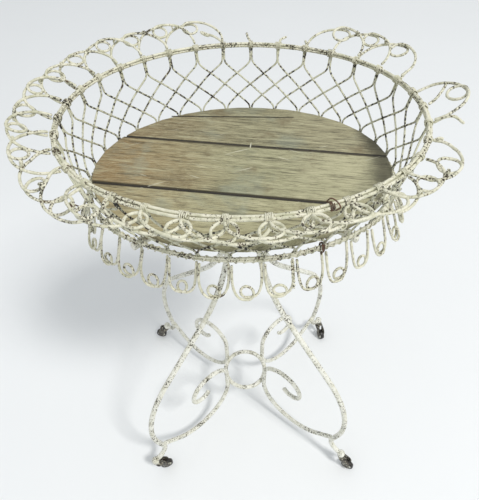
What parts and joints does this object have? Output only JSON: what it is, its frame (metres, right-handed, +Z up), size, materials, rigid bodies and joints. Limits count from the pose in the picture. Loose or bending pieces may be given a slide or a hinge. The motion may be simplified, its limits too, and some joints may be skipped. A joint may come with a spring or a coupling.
{
  "type": "wirework plant stand",
  "caption": "Oval wirework plant stand: flared lattice basket with looped border and fringe, plank floor, scrolled rod legs, stretcher ring and swivel casters.",
  "frame": {"origin": "on the ground, under the middle of the basket", "axes": "+Z up, +X along the long axis of the basket, -Y towards the front"},
  "size_m": [0.5414, 0.4447, 0.8029],
  "materials": {
    "painted_wire": "chipped off-white paint over dark iron wire",
    "painted_rod": "chipped off-white paint over iron rod",
    "rusty_wire": "bare rusty wire ends",
    "weathered_board": "weathered grey-brown plank, open grain",
    "batten_wood": "rough sawn, aged",
    "dark_iron": "dark worn iron with traces of paint",
    "wheel_iron": "dark worn tread"
  },
  "bodies": {
    "stand": {"rim_hoop_outer": "painted_wire", "rim_hoop_top": "painted_wire", "rim_hoop_bottom": "painted_wire", "rim_ties": "painted_wire", "lattice_wires_leaning_right": "painted_wire", "lattice_wires_leaning_left": "painted_wire", "base_hoop_upper": "painted_wire", "base_hoop_lower": "painted_wire", "base_ties": "painted_wire", "border_loops": "painted_wire", "border_knots": "painted_wire", "border_stubs": "rusty_wire", "fringe_loops": "painted_wire", "floor_board_front": "weathered_board", "floor_board_middle": "weathered_board", "floor_board_back": "weathered_board", "batten_left": "batten_wood", "batten_right": "batten_wood", "floor_nails": "dark_iron", "seam_staple": "painted_wire", "leg_front_left": "painted_rod", "leg_front_right": "painted_rod", "leg_back_left": "painted_rod", "leg_back_right": "painted_rod", "waist_collar": "painted_rod", "scroll_front_left": "painted_rod", "scroll_front_right": "painted_rod", "scroll_back_left": "painted_rod", "scroll_back_right": "painted_rod", "stretcher_ring": "painted_rod", "caster_pin_front_left": "dark_iron", "caster_pin_front_right": "dark_iron", "caster_pin_back_left": "dark_iron", "caster_pin_back_right": "dark_iron"},
    "caster_front_left": {"caster_fork_front_left": "dark_iron", "caster_axle_front_left": "dark_iron"},
    "wheel_front_left": {"caster_wheel_front_left": "wheel_iron"},
    "caster_front_right": {"caster_fork_front_right": "dark_iron", "caster_axle_front_right": "dark_iron"},
    "wheel_front_right": {"caster_wheel_front_right": "wheel_iron"},
    "caster_back_left": {"caster_fork_back_left": "dark_iron", "caster_axle_back_left": "dark_iron"},
    "wheel_back_left": {"caster_wheel_back_left": "wheel_iron"},
    "caster_back_right": {"caster_fork_back_right": "dark_iron", "caster_axle_back_right": "dark_iron"},
    "wheel_back_right": {"caster_wheel_back_right": "wheel_iron"}
  },
  "joints": [
    {"name": "swivel_front_left", "type": "hinge", "parent": "stand", "child": "caster_front_left", "pos_m": [-0.19952, -0.16981, 0.0444], "axis": [0, 0, 1], "continuous": true},
    {"name": "roll_front_left", "type": "hinge", "parent": "caster_front_left", "child": "wheel_front_left", "pos_m": [-0.18073, -0.16297, 0.013], "axis": [-0.342, 0.9397, 0], "continuous": true},
    {"name": "swivel_front_right", "type": "hinge", "parent": "stand", "child": "caster_front_right", "pos_m": [0.19952, -0.16981, 0.0444], "axis": [0, 0, 1], "continuous": true},
    {"name": "roll_front_right", "type": "hinge", "parent": "caster_front_right", "child": "wheel_front_right", "pos_m": [0.21684, -0.17981, 0.013], "axis": [0.5, 0.866, 0], "continuous": true},
    {"name": "swivel_back_left", "type": "hinge", "parent": "stand", "child": "caster_back_left", "pos_m": [-0.19952, 0.16981, 0.0444], "axis": [0, 0, 1], "continuous": true},
    {"name": "roll_back_left", "type": "hinge", "parent": "caster_back_left", "child": "wheel_back_left", "pos_m": [-0.21922, 0.17328, 0.013], "axis": [-0.1736, -0.9848, 0], "continuous": true},
    {"name": "swivel_back_right", "type": "hinge", "parent": "stand", "child": "caster_back_right", "pos_m": [0.19952, 0.16981, 0.0444], "axis": [0, 0, 1], "continuous": true},
    {"name": "roll_back_right", "type": "hinge", "parent": "caster_back_right", "child": "wheel_back_right", "pos_m": [0.20636, 0.15101, 0.013], "axis": [0.9397, 0.342, 0], "continuous": true}
  ]
}
